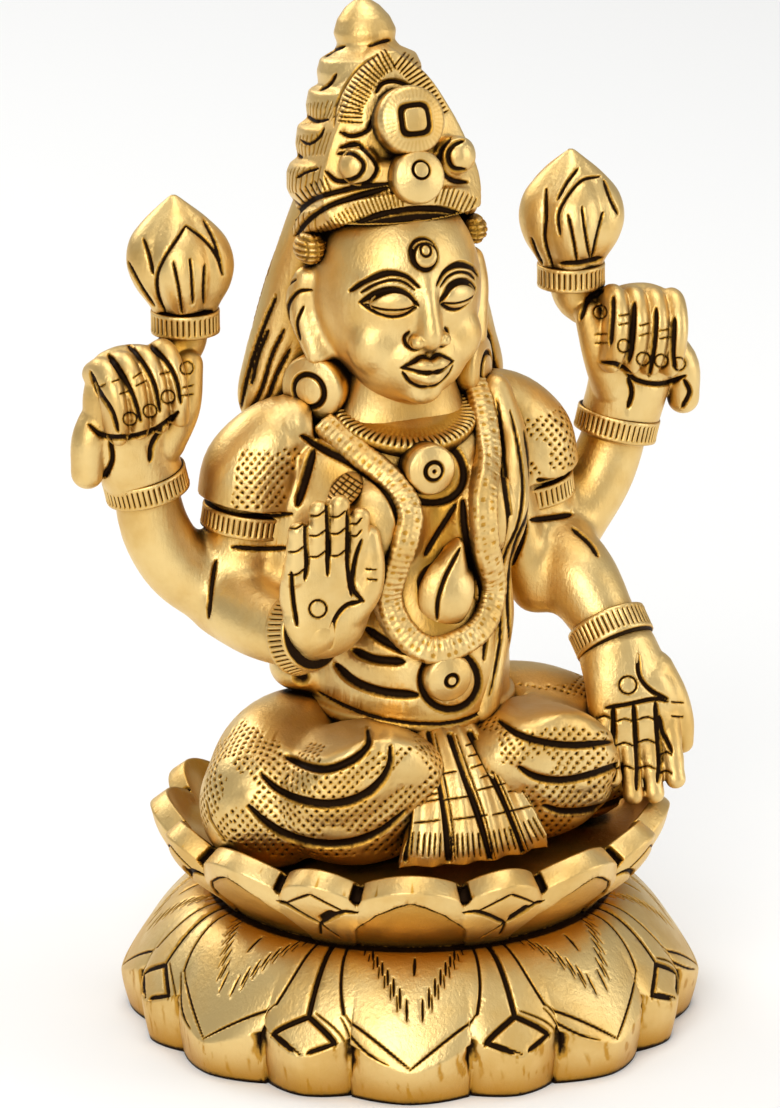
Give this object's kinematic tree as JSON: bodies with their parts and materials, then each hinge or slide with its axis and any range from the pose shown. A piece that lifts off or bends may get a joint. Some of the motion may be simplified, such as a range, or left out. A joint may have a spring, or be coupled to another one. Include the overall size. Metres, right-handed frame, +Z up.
{
  "type": "lakshmi figure",
  "caption": "Cast brass figure of a seated four-armed goddess in a tall crown, on a double lotus base, with raised lotus buds.",
  "frame": {"origin": "middle of the flat underside of the lotus base", "axes": "+Z up through the figure, the figure faces -Y, its left side is at +X"},
  "size_m": [0.0976, 0.083, 0.147],
  "materials": {
    "cast_brass": "brushed satin brass with dark patina left in the recesses"
  },
  "bodies": {
    "root": {"lakshmi_figure": "cast_brass"}
  },
  "joints": []
}
